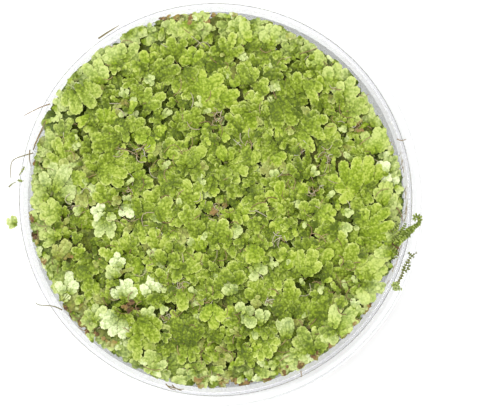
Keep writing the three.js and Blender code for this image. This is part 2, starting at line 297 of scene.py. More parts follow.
def skin(first, rings, last, part=0, flat=False, **marks):
    """Closed skins over n grids of points, each shut by a pole at its two ends.

    rings is (n, rows, sides, 3), with its sides going round to the left of the way from first to last, which
    are (n, 3). A mark is (n, rows + 2), one value for the first pole, each row and the last pole, or has a
    value of its own for each point. The faces of a flat skin keep their own normals.
    """
    n, rows, sides, _ = rings.shape
    points = np.concatenate([first[:, None], rings.reshape(n, rows * sides, 3), last[:, None]], axis=1)
    here = np.arange(sides)
    ahead = (here + 1) % sides
    row = 1 + sides * np.arange(rows - 1)[:, None]
    quads = np.stack([row + here, row + ahead, row + sides + ahead, row + sides + here], axis=-1)
    top = 1 + sides * (rows - 1)
    end = np.full(sides, 1 + rows * sides)
    triangles = np.concatenate([
        np.stack([np.zeros(sides, int), 1 + ahead, 1 + here], axis=-1),
        np.stack([end, top + here, top + ahead], axis=-1),
    ])
    step = np.arange(n)[:, None, None] * (rows * sides + 2)
    counts = np.r_[1, np.full(rows, sides), 1]
    return {
        "flat": np.full(n * sides * (rows + 1), flat),
        "points": points.reshape(-1, 3),
        "triangles": (triangles + step).reshape(-1, 3),
        "quads": (quads.reshape(-1, 4) + step).reshape(-1, 4),
        "part": part,
        "marks": {
            name: (value if value.shape[1] == counts.sum() else np.repeat(value, counts, axis=1)).ravel()
            for name, value in marks.items()
        },
    }


def make_piece(name, skins, materials, stands_for=()):
    """One mesh from several skins, smooth but for the flat ones, that rides with the bowl.

    It stands for the solids of the nodes in stands_for.
    """
    starts = np.cumsum([0] + [len(s["points"]) for s in skins])
    corners, sizes, parts = [], [], []
    for s, start in zip(skins, starts):
        for faces in (s["triangles"], s["quads"]):
            corners.append((faces + start).ravel())
            sizes.append(np.full(len(faces), faces.shape[1]))
            parts.append(np.full(len(faces), s["part"]))
    corners, sizes, parts = (np.concatenate(a).astype(np.int32) for a in (corners, sizes, parts))
    mesh = bpy.data.meshes.new(name)
    mesh.vertices.add(starts[-1])
    mesh.vertices.foreach_set("co", np.concatenate([s["points"] for s in skins]).astype(np.float32).ravel())
    mesh.loops.add(len(corners))
    mesh.loops.foreach_set("vertex_index", corners)
    mesh.polygons.add(len(sizes))
    mesh.polygons.foreach_set("loop_start", np.cumsum(sizes, dtype=np.int32) - sizes)
    mesh.polygons.foreach_set("material_index", parts)
    mesh.polygons.foreach_set("use_smooth", ~np.concatenate([s["flat"] for s in skins]))
    for mark in sorted({m for s in skins for m in s["marks"]}):
        values = np.concatenate([s["marks"].get(mark, np.zeros(len(s["points"]))) for s in skins])
        mesh.attributes.new(mark, "FLOAT", "POINT").data.foreach_set("value", values.astype(np.float32))
    mesh.update(calc_edges=True)
    for material in materials:
        mesh.materials.append(material)
    piece = bpy.data.objects.new(name, mesh)
    bpy.context.scene.collection.objects.link(piece)
    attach(piece, "root")
    if stands_for:
        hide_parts(*stands_for)
    return piece


def rounded(corners):
    """A profile of (radius, height) points in which each corner (radius, height, rounding, steps) is an arc.

    The arc has rounding as its radius and touches both sides rounding * tan(half the turn) from the corner.
    """
    place = np.array([c[:2] for c in corners], float)
    path = [place[0]]
    for before, at, after, (_, _, rounding, steps) in zip(place, place[1:], place[2:], corners[1:-1]):
        way_in, way_out = unit(at - before), unit(after - at)
        turn = math.atan2(way_in[0] * way_out[1] - way_in[1] * way_out[0], way_in @ way_out)
        if rounding == 0:
            path.append(at)
            continue
        start = at - way_in * rounding * math.tan(abs(turn) / 2)
        side = np.array([-way_in[1], way_in[0]]) * math.copysign(rounding, turn)
        angle = np.linspace(0, turn, steps + 1)[:, None]
        path.extend(start + side + np.cos(angle) * -side + np.sin(angle) * np.array([side[1], -side[0]]))
    return np.array([*path, place[-1]])


def turned(profile):
    """The skin of a profile of (radius, height) points that starts and ends on the axis, turned round +Z."""
    angle = np.linspace(0, 2 * np.pi, ROUND_SIDES, endpoint=False)
    radius, height = profile[1:-1, :1], np.broadcast_to(profile[1:-1, 1:], (len(profile) - 2, ROUND_SIDES))
    ring = np.stack([radius * np.cos(angle), radius * np.sin(angle), height], axis=-1)
    pole = [np.array([[0, 0, end[1]]]) for end in (profile[0], profile[-1])]
    return skin(pole[0], ring[None], pole[1])


def wall_radius(height, inset=0.0):
    """The radius of the straight wall at a height, inset from its outer face."""
    top = LIP_INNER_RADIUS + WALL / math.cos(WALL_LEAN)
    return top - (LIP_TOP - height) * math.tan(WALL_LEAN) - inset / math.cos(WALL_LEAN)


def make_bowl(material):
    """The bowl: foot, rounded corner, leaning wall and a turned-over lip, as one closed turned skin."""
    under_lip = LIP_TOP - LIP_THICKNESS
    skirt_foot = LIP_TOP - LIP_DROP
    skirt_inside = LIP_RADIUS - LIP_THICKNESS
    foot_corner = wall_radius(0)
    foot_ring = foot_corner - CORNER_RADIUS
    profile = rounded([
        (0, FOOT_RECESS, 0, 0),
        (foot_ring - FOOT_RIM - FOOT_SLOPE, FOOT_RECESS, FOOT_EDGE, 4),
        (foot_ring - FOOT_RIM, 0, FOOT_EDGE, 4),
        (foot_corner, 0, CORNER_RADIUS, 16),
        (wall_radius(under_lip), under_lip, LIP_EDGE, 5),
        (skirt_inside, under_lip, FOLD_EDGE, 5),
        (skirt_inside, skirt_foot, FINE_EDGE, 4),
        (LIP_RADIUS, skirt_foot, FINE_EDGE, 4),
        (LIP_RADIUS, LIP_TOP, LIP_EDGE, 6),
        (LIP_INNER_RADIUS, LIP_TOP, FINE_EDGE, 6),
        (wall_radius(WALL, WALL), WALL, CORNER_RADIUS - WALL, 16),
        (0, WALL, 0, 0),
    ])
    return make_piece("clear_bowl", [turned(profile)], [material], ["bowl"])


def make_water(material):
    """The water: the bowl's inside up to its level, with a surface that climbs the wall as exp(-distance)."""
    inset = WALL - WATER_INTO_WALL
    outer = wall_radius(WATER_LEVEL, inset)
    below = rounded([
        (0, inset, 0, 0),
        (wall_radius(inset, inset), inset, CORNER_RADIUS - WALL, 16),
        (outer, WATER_LEVEL + MENISCUS, 0, 0),
    ])
    inward = np.linspace(*SURFACE_RINGS, 12)
    climb = MENISCUS * np.exp(-inward / MENISCUS_REACH)
    surface = np.stack([outer - inward, WATER_LEVEL + climb], axis=-1)
    profile = np.concatenate([below, surface, [[outer / 2, WATER_LEVEL], [0, WATER_LEVEL]]])
    return make_piece("bowl_water", [turned(profile)], [material], ["water"])


def inside_wall(points):
    """The points, moved inwards where they would pass the wall's inner face below the lip's top."""
    height = points[..., 2:]
    room = np.where(height < LIP_TOP, wall_radius(height, WALL) - FROM_WALL, np.inf)
    reach = np.hypot(points[..., :1], points[..., 1:2])
    return np.concatenate([points[..., :2] * np.minimum(1, room / np.maximum(reach, MM)), height], axis=-1)


def leaf_skin(tip, ahead, up, length, width, height, walled=True, **marks):
    """Scale leaves: each a closed low dome between the pole of its underside and the pole of its top.

    The margin is x = -(1 + cos a) / 2, y = -sin a (1 - 0.16 cos a) / 2 for the angle a, so that it starts at
    the leaf's foot, ends at its tip and is widest past its middle. Its pale rim, which is also a painted
    highlight, grows towards the tip, and so does its tone, which leaves a painted shade on its foot. Walled
    leaves stay inside the bowl's wall.
    """
    angle = np.linspace(0, 2 * np.pi, LEAF_SIDES, endpoint=False)
    x, y = -(1 + np.cos(angle)) / 2, -np.sin(angle) * (1 - 0.16 * np.cos(angle)) / 2
    form = np.concatenate([[[-0.5, 0, -0.2]], np.stack([x, y, 0 * angle], axis=-1), [[-0.4, 0, 1]]])
    aside = np.cross(up, ahead)
    points = (
        tip[:, None]
        + form[None, :, :1] * (ahead * length[:, None])[:, None]
        + form[None, :, 1:2] * (aside * width[:, None])[:, None]
        + form[None, :, 2:] * (up * height[:, None])[:, None]
    )
    rows = {name: np.repeat(value[:, None], len(form), axis=1) for name, value in marks.items()}
    # The rim pales towards the tip: the margin's own pale colour and a painted highlight.
    rows["rim"] = rows["rim"] * np.clip(1.5 * form[:, 0] + 1.2, 0, 1) * (1 - form[:, 2])
    # The tone rises towards the tip, so the leaf's foot carries a painted shade.
    rows["tone"] = np.clip(rows["tone"] + 0.3 * (form[:, 0] + 0.4), 0, 1)
    if walled:
        points = inside_wall(points)
    return skin(points[:, 0], points[:, None, 1:-1], points[:, -1], FERN_PART, True, **rows)


def tube_skin(paths, radii, sides=5, **marks):
    """Round tubes along n paths of (n, steps, 3) points: a ring of the given radius across each point."""
    along = unit(np.gradient(paths, axis=1))
    lean = np.where(np.abs(along[..., 2:]) > 0.7, [[[1.0, 0, 0]]], [[[0, 0, 1.0]]])
    flat = unit(np.cross(along, lean[:, :1]))
    across = np.cross(flat, along)
    angle = np.linspace(0, 2 * np.pi, sides, endpoint=False)[:, None]
    ring = np.cos(angle) * flat[:, :, None] - np.sin(angle) * across[:, :, None]
    rings = paths[:, :, None] + ring * radii[:, :, None, None]
    rows = {name: np.repeat(value[:, None], paths.shape[1] + 2, axis=1) for name, value in marks.items()}
    return skin(paths[:, 0], rings, paths[:, -1], ROOT_PART, **rows)


def smooth_path(points, step):
    """A path of even steps along points whose corners were cut twice, at 1/4 and 3/4 of each side."""
    points = np.asarray(points, float)
    for _ in range(2):
        before, after = points[:-1], points[1:]
        cuts = np.stack([0.75 * before + 0.25 * after, 0.25 * before + 0.75 * after], axis=1)
        points = np.concatenate([points[:1], cuts.reshape(-1, points.shape[1]), points[-1:]])
    far = np.r_[0, np.cumsum(np.linalg.norm(np.diff(points, axis=0), axis=1))]
    at = np.linspace(0, far[-1], max(4, round(far[-1] / step)))
    return np.stack([np.interp(at, far, column) for column in points.T], axis=-1)


def over_lip(pixels, step, above):
    """A path drawn in pixels, laid at a height above the carpet's edge, the wall's top and the lip."""
    path = smooth_path([seen_at(x, y) for x, y in pixels], step)
    reach = np.hypot(*path.T)
    rest = np.interp(reach, *LIP_CURVE)
    return np.column_stack([path, rest + above])


def sprig_skins(rng, path, reach, tone, fresh=0.0, pale=0.0, age=0.0, edge=0.8, spread=0.16):
    """A stem along a path, with a row of short thick leaves on each side of it and two rows on its top."""
    count = len(path)
    along = unit(np.gradient(path, axis=0))
    aside = unit(np.cross([0, 0, 1], along))
    share = np.linspace(0, 1, count)
    full = reach * (0.55 + 0.45 * np.sin(np.pi * np.clip(share * 0.8 + 0.2, 0, 1)))[:, None]
    skins = []
    for side, rise in ((1, 0.1), (-1, 0.1), (0.5, 0.62), (-0.5, 0.62)):
        outward = aside * side + np.array([0, 0, rise])
        forward = along * rng.uniform(0.3, 0.7, (count, 1))
        tip = path + full * (outward + forward + rng.normal(0, 0.1, (count, 3)))
        span = np.linalg.norm(tip - path, axis=1)
        ahead = unit(tip - path)
        normal = np.array([0, 0, 1]) + 0.4 * aside * side
        up = unit(normal - np.sum(normal * ahead, axis=1, keepdims=True) * ahead)
        # Each leaf's rim is its pale margin and a painted highlight.
        skins.append(leaf_skin(
            tip, ahead, up, span * 1.1, span * 0.8, span * 0.3, walled=False,
            tone=np.clip(tone + rng.normal(0, spread, count), 0, 1), fresh=np.full(count, fresh),
            pale=np.clip(pale + rng.normal(0, 0.1, count), 0, 1),
            age=np.clip(age * rng.uniform(0.6, 1.3, count), 0, 1), rim=edge * rng.uniform(0.3, 1, count),
        ))
    radius = np.full((1, count), 0.22 * MM) * (1 - 0.6 * share)
    skins.append(tube_skin(path[None], radius, 5, shade=np.full(1, 0.1)))
    return skins


def carpet_top(x, y):
    """The height of the carpet's heaped top: its height at the edge plus a rise of 1 - (r / R)^2."""
    return CARPET_EDGE_TOP + CARPET_RISE * (1 - (x * x + y * y) / CARPET_RADIUS**2)


def carpet_edge(x, y):
    """How far the carpet reaches towards a place at the angle a from +X, as the photograph shows it.

    In millimetres it is 53.1 + cos(2 a - 4.6) + 0.35 cos(3 a + 0.5) + 0.2 cos(5 a + 1) + 0.4 cos(10 a - 1.3),
    but at most 54.1, where the wall is.
    """
    angle = np.arctan2(y, x)
    wide = np.cos(2 * angle - 4.6) + 0.35 * np.cos(3 * angle + 0.5)
    narrow = 0.2 * np.cos(5 * angle + 1) + 0.4 * np.cos(10 * angle - 1.3)
    return np.minimum(53.1 + wide + narrow, 54.1) * MM


def fan_lobes(rng, fan):
    """The lobes of one fan, as rows of heading, turn, length, half width and lift.

    They spread from the fan's foot like the fingers of a hand, at steps that let their sides touch near the
    tips, and get shorter towards the fan's sides as 1 - 0.24 share^2.
    """
    order = np.arange(fan["lobes"]) - (fan["lobes"] - 1) / 2
    half = fan["half_width"] * rng.uniform(0.88, 1.12, fan["lobes"])
    step = min(1.75 * fan["half_width"] / (fan["size"] - fan["half_width"]), 2.6 / fan["lobes"])
    heading = order * step * rng.uniform(0.94, 1.14) + rng.normal(0, 0.06, fan["lobes"])
    share = np.abs(order) / max((fan["lobes"] - 1) / 2, 1)
    length = fan["size"] * (1 - 0.24 * share**2) * rng.uniform(0.9, 1.06, fan["lobes"])
    turn = 0.12 * order + rng.normal(0, 0.12, fan["lobes"])
    lift = rng.normal(0, 0.2, fan["lobes"]) * fan["half_width"]
    return np.stack([heading, turn, length, half, lift], axis=-1)


def on_lobe(lobe, s, u):
    """The place (x, y, height) in a fan's plane of a point s along a lobe and u across it.

    The lobe's middle line bends by its turn over its length L. Its back is arched to 0.1 W (1 - rho^2) above
    the plane, rho being the distance from its middle line over its half width W, and sinks by
    0.14 W (s / L)^2.
    """
    heading, turn, length, half, lift = lobe
    bearing, chord = heading + turn * s / length, heading + turn * s / length / 2
    rho = np.hypot(u, np.maximum(0, s - length + half)) / half
    x, y = s * np.cos(chord) - u * np.sin(bearing), s * np.sin(chord) + u * np.cos(bearing)
    back = 0.1 * half * np.maximum(0, 1 - rho**2) - 0.14 * half * (s / length) ** 2 + lift
    return np.stack([x, y, back], axis=-1)


def lobe_start(lobe):
    """The share of a lobe's length where its leaves start: the outer lobes leave the fan's foot bare."""
    return 0.22 if abs(lobe[0]) < 0.3 else 0.4


def half_width_at(lobe, s):
    """Half the width of a lobe's outline: it widens to W over 0.6 of its length and ends in a half round."""
    _, _, length, half, _ = lobe
    widening = 0.42 + 0.58 * np.clip(s / (0.6 * length), 0, 1)
    return half * widening * np.sqrt(np.maximum(0, 1 - (np.maximum(0, s - length + half) / half) ** 2))


def lobe_leaves(rng, lobe, scale, start, relief, grainy):
    """The tips and feet of one lobe's leaves, their share of its length, and whether each is on its margin.

    Margin leaves have their tips on the outline and point outwards from it. On a grainy lobe others stand
    inside it in staggered rows, and each tip lies over the feet of the leaves ahead.
    """
    _, _, length, half, _ = lobe
    neck = length - half
    step = MARGIN_STEP * scale
    along = np.arange(start * length, neck, step)
    bend = np.linspace(-0.5, 0.5, max(4, round(np.pi * half / step) + 1)) * np.pi
    side = half_width_at(lobe, along)
    s = np.concatenate([along, neck + half * np.cos(bend), along[::-1] + 0.3 * step])
    u = np.concatenate([-side, half * np.sin(bend), side[::-1]])
    lean = np.radians(50)
    way = np.concatenate([np.full(len(along), -lean), bend * 0.86, np.full(len(along), lean)])

    rows = np.arange(start * length * 0.8, length - 0.45 * half, ROW_STEP * scale)
    row, col = np.meshgrid(np.arange(len(rows)), np.arange(-6, 7), indexing="ij")
    s_in = rows[row] + rng.normal(0, 0.07 * MM, row.shape) * scale
    u_in = (col + 0.5 * (row % 2)) * COLUMN_STEP * scale + rng.normal(0, 0.06 * MM, row.shape) * scale
    inside = grainy & (np.abs(u_in) < half_width_at(lobe, s_in) - 0.5 * MM * scale)
    s_in, u_in = s_in[inside], u_in[inside]

    s, u = np.concatenate([s, s_in]), np.concatenate([u, u_in])
    way = np.concatenate([way, np.radians(44) * u_in / half]) + rng.normal(0, 0.14, len(s))
    margin = np.concatenate([np.ones(len(s) - len(s_in)), np.zeros(len(s_in))])
    reach = LEAF_LENGTH * scale * (1 + (MARGIN_LEAF - 1) * margin)
    raised = np.where(margin > 0, 0.06, 0.1) * relief * MM * scale * rng.uniform(0.6, 1.4, len(s))
    tip = on_lobe(lobe, s, u) + raised[:, None] * np.array([0, 0, 1])
    foot = on_lobe(lobe, s - reach * np.cos(way), u - reach * np.sin(way))
    foot += 0.03 * MM * scale * np.array([0, 0, 1])
    return tip, foot, s / length, margin


def lobe_blade(lobe, start, edge):
    """The thin body of a lobe under its leaves: its points, and for each s, u as in on_lobe and its pale rim,
    which is also a painted highlight.

    It has rings of six points, closer together towards the tip, between a first and a last point.
    """
    _, _, length, half, _ = lobe
    share = 1 - (1 - np.linspace(0, 1, 7)) ** 1.6
    s = (start + (0.95 - start) * share)[:, None] * length
    angle = np.linspace(0, 2 * np.pi, BLADE_SIDES, endpoint=False)
    u = -0.84 * half_width_at(lobe, s) * np.cos(angle)
    s = np.broadcast_to(s, u.shape)
    upright = np.sin(angle)
    under = np.broadcast_to(np.where(upright > 0.1, 0.4, np.where(upright < -0.1, 0.04, 0.1)), u.shape)
    s = np.concatenate([[start * length - 0.3 * MM], s.ravel(), [0.96 * length]])
    u = np.concatenate([[0], u.ravel(), [0]])
    points = on_lobe(lobe, s, u)
    points[1:-1, 2] -= under.ravel() * MM
    wide = np.maximum(half_width_at(lobe, np.minimum(s, length - half)), 1e-9)
    rho = np.maximum(np.abs(u) / wide, np.hypot(u, np.maximum(0, s - length + half)) / half)
    # The pale rim on the lobe's outer part: its pale margin and a painted highlight.
    rim = 0.6 * edge * np.clip((rho - 0.45) / 0.4, 0, 1) * np.clip(1.6 * s / length - 0.3, 0, 1)
    return points, s, u, rim


def swing_of(fan):
    """The turn from a fan's own plane to its heading."""
    cos, sin = math.cos(fan["heading"]), math.sin(fan["heading"])
    return np.array([[cos, -sin, 0], [sin, cos, 0], [0, 0, 1]])


def place_of(fan):
    """Where a fan's middle is set down."""
    return np.array([fan["x"], fan["y"], carpet_top(fan["x"], fan["y"]) + fan["lift"]])


def set_down(fan, points):
    """Points of a fan's plane in the row frame, and the plane's normals there.

    The plane is bent to z = x tilt + y roll - droop (x^2 + y^2) / size about the fan's middle, turned to the
    fan's heading and set on the carpet, inside the fan's limit and the wall.
    """
    x, y, z = points[..., 0] - FAN_MIDDLE * fan["size"], points[..., 1], points[..., 2:]
    slope_x = fan["tilt"] - 2 * fan["droop"] * x / fan["size"]
    slope_y = fan["roll"] - 2 * fan["droop"] * y / fan["size"]
    height = x * fan["tilt"] + y * fan["roll"] - fan["droop"] * (x * x + y * y) / fan["size"]
    normal = unit(np.stack([-slope_x, -slope_y, np.ones(x.shape)], axis=-1))
    swing = swing_of(fan)
    down = (np.stack([x, y, height], axis=-1) + normal * z) @ swing.T + place_of(fan)
    reach = np.hypot(down[..., 0], down[..., 1])[..., None]
    down[..., :2] *= np.minimum(1, fan["limit"] / reach)
    return inside_wall(down), normal @ swing.T


def fan_leaves(rng, fan, lobes):
    """The skin of all scale leaves of one fan, and the tone that each of its lobes adds to the fan's."""
    leaves, lobe_tone, rows, columns = [], [], [], []
    grainy = fan["grain"] < fan["grainy"] or not fan["blade"]
    for lobe in lobes:
        leaves.append(lobe_leaves(rng, lobe, fan["scale"], lobe_start(lobe), fan["relief"], grainy))
        count = len(leaves[-1][0])
        lobe_tone.append(np.full(count, rng.normal(0, 0.07)))
        rows.append(rng.uniform(0, 40, count))
        columns.append(rng.uniform(0, 40, count))
    tip, foot, t, margin = (np.concatenate(part) for part in zip(*leaves))
    n = len(tip)
    swing = swing_of(fan)
    unbent = tip[:, :2] @ swing[:2, :2].T + place_of(fan)[:2] - FAN_MIDDLE * fan["size"] * swing[:2, 0]
    tip, normal = set_down(fan, tip)
    foot, _ = set_down(fan, foot)
    length = np.linalg.norm(tip - foot, axis=1)
    keep = (np.hypot(*unbent.T) < fan["limit"] + 0.6 * MM) & (length > 0.4 * MM)
    ahead = unit(tip - foot + 1e-9)
    aside = unit(np.cross(normal, ahead))
    roll = rng.normal(0.07, 0.03, n)[:, None]
    up = unit(np.cross(ahead, aside) * np.cos(roll) + aside * np.sin(roll))

    # The tone rises along each lobe: paler young tips, and a painted shade at the fan's foot, where the lobes
    # meet.
    tone = fan["tone"] + np.concatenate(lobe_tone) + rng.normal(0, 0.05, n) + 0.6 * (t - 0.62)
    marks = {
        "tone": np.clip(tone, 0, 1),
        "fresh": np.clip(fan["fresh"] * rng.uniform(0.7, 1.15, n), 0, 1),
        "pale": fan["pale"] * np.clip((t - 0.3) / 0.4, 0, 1) * rng.uniform(0.8, 1, n),
        "age": np.clip(fan["age"] * rng.uniform(0.7, 1.3, n), 0, 1),
        # The margin leaves' pale rim: their pale colour and a painted highlight.
        "rim": (0.25 + 0.75 * margin * np.clip(1.6 * t - 0.3, 0, 1)) * fan["edge"] * rng.uniform(0.4, 1.1, n),
        "scales": np.ones(n), "rows": np.concatenate(rows), "columns": np.concatenate(columns),
    }
    fat = fan["scale"] * rng.uniform(0.88, 1.12, n)
    fat *= 1 + (MARGIN_LEAF - 1) * margin
    leaf_skins = leaf_skin(tip[keep], ahead[keep], up[keep], length[keep] * 1.05, LEAF_WIDTH * fat[keep],
                           LEAF_HEIGHT * fan["relief"] * fat[keep], **{m: v[keep] for m, v in marks.items()})
    return leaf_skins, np.array([tones[0] for tones in lobe_tone])


def fan_blades(fan, lobes, lobe_tone):
    """The skin of the thin bodies of one fan's lobes."""
    blades = [lobe_blade(lobe, lobe_start(lobe), fan["edge"]) for lobe in lobes]
    points, s, u, rim = (np.array(part) for part in zip(*blades))
    down, _ = set_down(fan, points)
    t, whole = s / lobes[:, 2:3], np.ones(s.shape)
    # The blades' tone rises along each lobe as the leaves' does: paler tips, and a painted shade at the fan's
    # foot.
    tone = lobe_tone + fan["tone"]
    return skin(
        down[:, 0], down[:, 1:-1].reshape(len(lobes), -1, BLADE_SIDES, 3), down[:, -1], FERN_PART, True,
        tone=np.clip(tone[:, None] + 0.6 * (t - 0.62), 0, 1), fresh=whole * fan["fresh"],
        pale=fan["pale"] * np.clip((t - 0.3) / 0.4, 0, 1), age=whole * fan["age"], rim=rim, scales=whole,
        rows=s / ROW_STEP / fan["scale"], columns=u / COLUMN_STEP / fan["scale"],
    )


def fan_skins(rng, fan):
    """The leaves of one fan with its blades or, where it has none, its stems, and its middle stem's path."""
    lobes = fan_lobes(rng, fan)
    leaf_skins, lobe_tone = fan_leaves(rng, fan, lobes)
    t = np.linspace(0, 0.9, 4)
    stems = np.array([on_lobe(lobe, t * lobe[2], 0 * t) for lobe in lobes])
    stems[..., 2] = -0.25 * MM
    stems, _ = set_down(fan, stems)
    middle_stem = stems[len(stems) // 2]
    if fan["blade"]:
        return [leaf_skins, fan_blades(fan, lobes, lobe_tone)], middle_stem
    radii = np.broadcast_to(0.2 * MM * (1 - 0.5 * t), stems.shape[:2])
    return [leaf_skins, tube_skin(stems, radii, 4, shade=np.zeros(len(stems)))], middle_stem


def hanging_roots(rng, starts):
    """Unbranched roots that hang from the given points into the water, each swaying as it goes down."""
    n = len(starts)
    t = np.linspace(0, 1, 7)
    drop = rng.uniform(*ROOT_DROPS_MM, n)[:, None] * MM + (starts[:, 2:] - WATER_LEVEL)
    way = rng.uniform(0, 2 * np.pi, n)[:, None]
    sway = rng.uniform(0.5, 2.2, n)[:, None] * MM * np.sin(t * rng.uniform(1.5, 4, n)[:, None])
    path = np.stack([
        starts[:, :1] + sway * np.cos(way), starts[:, 1:2] + sway * np.sin(way), starts[:, 2:] - drop * t,
    ], axis=-1)
    inside = wall_radius(WATER_LEVEL, WALL) - ROOTS_FROM_WALL
    reach = np.hypot(path[..., 0], path[..., 1])[..., None]
    path[..., :2] *= np.minimum(1, inside / reach)
    return tube_skin(path, ROOT_RADIUS * (1 - 0.7 * t) * np.ones((n, 1)), 4, shade=rng.uniform(0, 0.8, n))


def spread_places(rng, radius, apart, taken, clear_of, tries=9000):
    """Random places in a round, the given distance apart, each as far from the taken places as they ask."""
    found = []
    for _ in range(tries):
        reach, angle = radius * math.sqrt(rng.random()), 2 * math.pi * rng.random()
        place = np.array([reach * math.cos(angle), reach * math.sin(angle)])
        if found and np.min(np.linalg.norm(np.array(found) - place, axis=1)) < apart:
            continue
        if len(taken) and np.any(np.linalg.norm(taken - place, axis=1) < clear_of):
            continue
        found.append(place)
    return found


def make_fans():
    """Every fan of the carpet: those seen in the photograph, others between and under them, and old bits."""
    rng = np.random.default_rng(11)
    fans = []

    def grow(x, y, look, **form):
        fans.append({
            "x": x, "y": y, "scale": rng.uniform(0.92, 1.08),
            "limit": carpet_edge(x, y) + rng.normal(0, 0.25) * MM, "droop": rng.uniform(0.05, 0.35),
            "roll": math.tan(math.radians(rng.normal(0, 7))),
            "tilt": math.tan(math.radians(rng.normal(5, 7))),
            "blade": True, "relief": 1.0, "grain": rng.random(), **LOOKS[look], **form,
        })
        outer = np.clip((math.hypot(x, y) / MM - 46) / 6, 0, 1) * (1 - fans[-1]["age"])
        fans[-1]["tone"] = float(np.clip(fans[-1]["tone"] + 0.25 * outer + rng.normal(0, 0.05), 0, 1))
        fans[-1]["pale"] = float(np.clip(fans[-1]["pale"] + 0.4 * outer, 0, 1))

    for x_px, y_px, heading, reach_px, lobe_px, lobes, look in FANS_SEEN:
        x, y = seen_at(x_px, y_px)
        grow(x, y, look, heading=math.radians(heading), size=reach_px * M_PER_PX, lobes=lobes,
             half_width=0.93 * lobe_px * M_PER_PX / 2, lift=rng.normal(0.8, 0.3) * MM,
             scale=rng.uniform(0.7, 0.85) if look in ("mint", "pale") else rng.uniform(0.86, 1.04))
    seen = np.array([[fan["x"], fan["y"]] for fan in fans])
    room = np.array([0.24 * fan["size"] + 1.4 * MM for fan in fans])
    open_places = np.array([seen_at(x, y) for x, y, _ in OPEN_PLACES])
    open_room = np.array([r * M_PER_PX for _, _, r in OPEN_PLACES])
    taken = np.concatenate([seen, open_places])
    clear_of = np.concatenate([room, open_room + 2.4 * MM])
    for x, y in spread_places(rng, CARPET_RADIUS - 2.2 * MM, 3.8 * MM, taken, clear_of):
        look = rng.choice(MIDDLING_LOOKS, p=MIDDLING_SHARES)
        grow(x, y, look, heading=rng.uniform(0, 2 * np.pi), size=rng.uniform(5.5, 8) * MM,
             lobes=int(rng.integers(3, 7)), half_width=rng.uniform(0.95, 1.5) * MM,
             lift=rng.normal(0, 0.4) * MM, grainy=0.1, scale=rng.uniform(0.74, 0.94))
    clear_of = np.concatenate([room + 0.5 * MM, open_room * 0.5])
    for x, y in spread_places(rng, CARPET_RADIUS - 1.2 * MM, 2.4 * MM, taken, clear_of):
        look = rng.choice(SMALL_LOOKS, p=SMALL_SHARES)
        grow(x, y, look, heading=rng.uniform(0, 2 * np.pi), size=rng.uniform(2.6, 4.6) * MM,
             lobes=int(rng.integers(1, 4)), half_width=rng.uniform(0.5, 0.9) * MM,
             scale=rng.uniform(0.62, 0.85), tilt=rng.normal(0.1, 0.35), lift=rng.normal(0.3, 0.5) * MM,
             blade=False)
    for x, y in spread_places(rng, CARPET_RADIUS - 2 * MM, 7.6 * MM, [], []):
        grow(x, y, "deep", heading=rng.uniform(0, 2 * np.pi), size=rng.uniform(9, 12) * MM, lobes=5,
             half_width=2.1 * MM, scale=1.35, droop=0.1, lift=rng.normal(-1.9, 0.3) * MM, edge=0.4, grainy=0,
             tone=float(np.clip(rng.normal(0.22, 0.12), 0, 1)), age=float(rng.random() * 0.2))
    grow_old_bits(rng, grow)
    return fans


def nearest(places, middles):
    """For each place, the number of the middle that is nearest to it."""
    return np.argmin(np.linalg.norm(places[:, None] - middles[None], axis=-1), axis=1)


def lowest_leaves(rng, middles):
    """Broad dark old leaves that lie on the water under the fans, as a skin for each of the given middles.

    Their dark tone is in part a painted shade for the gaps between the fans. They stand on a staggered grid,
    each shifted and turned at random, so that they overlap up to the carpet's edge.
    """
    row, col = np.meshgrid(np.arange(-44, 45), np.arange(-38, 39), indexing="ij")
    x, y = (col + 0.5 * (row % 2)) * BED_STEP, row * BED_STEP * 0.866
    place = np.stack([x, y], axis=-1).reshape(-1, 2)
    place += rng.normal(0, 0.25, place.shape) * MM
    place = place[np.hypot(*place.T) < carpet_edge(*place.T) - 1.5 * MM]
    n = len(place)
    way = rng.uniform(0, 2 * np.pi, n)
    ahead = unit(np.stack([np.cos(way), np.sin(way), rng.normal(0, 0.12, n)], axis=-1))
    up = unit(np.cross(ahead, np.stack([-np.sin(way), np.cos(way), rng.normal(0, 0.12, n)], axis=-1)))
    tip = np.column_stack([place, WATER_LEVEL + rng.uniform(0.5, 1.5, n) * MM]) + ahead * 1.3 * MM
    owner = nearest(place, middles)
    marks = {name: np.zeros(n) for name in ("fresh", "pale", "rim", "scales", "rows", "columns")}
    # A dark tone: old leaves, and a painted shade for the gaps between the fans.
    marks["tone"] = np.clip(rng.normal(0.3, 0.14, n), 0, 1)
    marks["age"] = np.clip(rng.normal(0.1, 0.12, n), 0, 0.5)
    return [
        leaf_skin(tip[mine], ahead[mine], up[mine], *(np.full(mine.sum(), size) for size in BED_LEAF),
                  **{name: value[mine] for name, value in marks.items()})
        for mine in (owner == i for i in range(len(middles)))
    ]


def grow_old_bits(rng, grow):
    """Short old sprigs round each of the old places, lying as they fell."""
    for x_px, y_px, radius_px, count, age in OLD_PLACES:
        for _ in range(count):
            x, y = seen_at(*(np.array([x_px, y_px]) + rng.normal(0, 0.5, 2) * radius_px))
            grow(x, y, "tan", heading=rng.uniform(0, 2 * np.pi), size=rng.uniform(1, 2.3) * MM,
                 lobes=int(rng.integers(1, 3)), half_width=rng.uniform(0.3, 0.55) * MM,
                 scale=rng.uniform(0.45, 0.65), tilt=rng.normal(0, 0.5), lift=rng.normal(0.3, 0.4) * MM,
                 blade=False, relief=1.5, age=age * rng.uniform(0.4, 1.5), edge=0.6 * rng.random())


